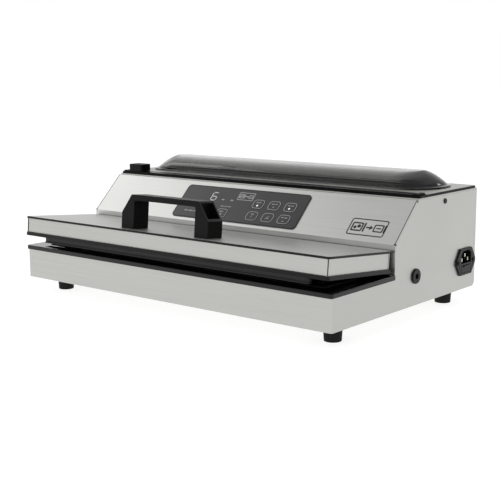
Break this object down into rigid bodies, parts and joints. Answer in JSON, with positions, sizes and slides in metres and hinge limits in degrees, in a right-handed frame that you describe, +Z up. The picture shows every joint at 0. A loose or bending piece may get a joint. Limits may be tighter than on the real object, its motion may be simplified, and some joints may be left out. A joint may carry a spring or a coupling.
{
  "type": "external vacuum sealer",
  "caption": "Countertop vacuum sealer with a hinged pressing lid, bag roll storage under a domed cover, sliding bag cutter and sloping key panel.",
  "frame": {"origin": "on the surface the feet stand on, under the middle of the object's outline", "axes": "+X to the right as seen from the front, +Y from the front edge to the rear, +Z up"},
  "size_m": [0.4743, 0.3036, 0.1593],
  "materials": {
    "stainless": "brushed stainless sheet, fine horizontal grain",
    "deck_black": "glossy black moulding",
    "lid_black": "satin black moulding",
    "frame_black": "glossy black moulding",
    "handle_black": "fine-textured black moulding",
    "knob_black": "fine-textured black moulding",
    "trough_black": "matte black moulding",
    "smoked_cover": "smoke-tinted clear plastic, polished",
    "panel_black": "dark printed membrane",
    "key_black": "dark printed membrane key",
    "rubber_black": "black rubber",
    "foam_gasket": "soft closed-cell gasket",
    "silicone_strip": "black silicone",
    "seal_bar_black": "heat-proof moulding",
    "heating_alloy": "bare resistance ribbon",
    "release_cloth": "coated glass cloth tape",
    "tray_grey": "black drip tray",
    "screw_steel": "bright screw",
    "screw_black": "blackened screw",
    "hinge_steel": "plated steel",
    "blade_steel": "ground blade",
    "inlet_black": "black moulding",
    "pin_brass": "plated contact",
    "motor_steel": "grey motor can",
    "pump_alloy": "cast alloy",
    "core_steel": "laminated core",
    "board_green": "circuit board",
    "hose_clear": "milky silicone hose",
    "fan_black": "black moulding"
  },
  "bodies": {
    "case": {"body_shell": "stainless", "fascia_panel": "stainless", "rear_panel": "stainless", "bottom_plate": "stainless", "feet": "rubber_black", "foot_screws": "screw_steel", "case_screws": "screw_black", "deck_plate": "deck_black", "lower_gasket": "foam_gasket", "seal_bar": "seal_bar_black", "heating_wire": "heating_alloy", "release_tape": "release_cloth", "drip_tray": "tray_grey", "lid_hinge_brackets": "hinge_steel", "top_plate": "stainless", "top_frame": "frame_black", "top_sheet": "stainless", "roll_trough": "trough_black", "cutter_rail": "frame_black", "cover_hinge_eyes": "frame_black", "control_overlay": "panel_black", "control_board": "board_green", "power_inlet": "inlet_black", "inlet_pins": "pin_brass", "inlet_screws": "screw_black", "accessory_port": "inlet_black", "pump_motor": "motor_steel", "pump_heads": "pump_alloy", "transformer": "core_steel", "power_board": "board_green", "solenoid_valve": "pump_alloy", "vacuum_hoses": "hose_clear", "fan_frame": "fan_black"},
    "lid": {"lid_top_sheet": "stainless", "lid_trim": "lid_black", "lid_skirt": "stainless", "lid_base": "lid_black", "lid_gasket": "foam_gasket", "lid_handle": "handle_black", "lid_hinge_knuckles": "lid_black", "lid_hinge_pins": "hinge_steel", "lid_springs": "hinge_steel", "pressure_strip": "silicone_strip", "handle_screws": "screw_steel"},
    "roll_cover": {"roll_cover": "smoked_cover"},
    "cutter": {"cutter_knob": "knob_black", "cutter_blade": "blade_steel"},
    "fuse_drawer": {"fuse_drawer": "inlet_black"},
    "pump_rotor": {"pump_rotor": "core_steel"},
    "fan_rotor": {"fan_rotor": "fan_black"},
    "start_key": {"start_key": "key_black"},
    "key_1": {"key_1": "key_black"},
    "key_2": {"key_2": "key_black"},
    "key_3": {"key_3": "key_black"},
    "key_4": {"key_4": "key_black"},
    "key_5": {"key_5": "key_black"},
    "key_6": {"key_6": "key_black"}
  },
  "joints": [
    {"name": "lid_hinge", "type": "hinge", "parent": "case", "child": "lid", "pos_m": [0, -0.0422, 0.0808], "axis": [-1, 0, 0], "range_deg": [-5.2, 54.8], "stiffness_Nm_per_rad": 1.2, "springref_deg": 34.38},
    {"name": "cover_hinge", "type": "hinge", "parent": "case", "child": "roll_cover", "pos_m": [0, 0.1452, 0.1434], "axis": [-1, 0, 0], "range_deg": [0, 100]},
    {"name": "cutter_slide", "type": "slide", "parent": "case", "child": "cutter", "axis": [1, 0, 0], "range_m": [0, 0.416]},
    {"name": "fuse_drawer_slide", "type": "slide", "parent": "case", "child": "fuse_drawer", "axis": [1, 0, 0], "range_m": [0, 0.02]},
    {"name": "pump_spin", "type": "hinge", "parent": "case", "child": "pump_rotor", "pos_m": [0, 0.0128, 0.057], "axis": [1, 0, 0], "continuous": true},
    {"name": "fan_spin", "type": "hinge", "parent": "case", "child": "fan_rotor", "pos_m": [-0.15, 0.1428, 0.0467], "axis": [0, 1, 0], "continuous": true},
    {"name": "start_key_press", "type": "slide", "parent": "case", "child": "start_key", "axis": [0, 0.6984, -0.7157], "range_m": [0, 0.0005], "stiffness_N_per_m": 400},
    {"name": "key_1_press", "type": "slide", "parent": "case", "child": "key_1", "axis": [0, 0.6984, -0.7157], "range_m": [0, 0.0005], "stiffness_N_per_m": 400},
    {"name": "key_2_press", "type": "slide", "parent": "case", "child": "key_2", "axis": [0, 0.6984, -0.7157], "range_m": [0, 0.0005], "stiffness_N_per_m": 400},
    {"name": "key_3_press", "type": "slide", "parent": "case", "child": "key_3", "axis": [0, 0.6984, -0.7157], "range_m": [0, 0.0005], "stiffness_N_per_m": 400},
    {"name": "key_4_press", "type": "slide", "parent": "case", "child": "key_4", "axis": [0, 0.6984, -0.7157], "range_m": [0, 0.0005], "stiffness_N_per_m": 400},
    {"name": "key_5_press", "type": "slide", "parent": "case", "child": "key_5", "axis": [0, 0.6984, -0.7157], "range_m": [0, 0.0005], "stiffness_N_per_m": 400},
    {"name": "key_6_press", "type": "slide", "parent": "case", "child": "key_6", "axis": [0, 0.6984, -0.7157], "range_m": [0, 0.0005], "stiffness_N_per_m": 400}
  ]
}
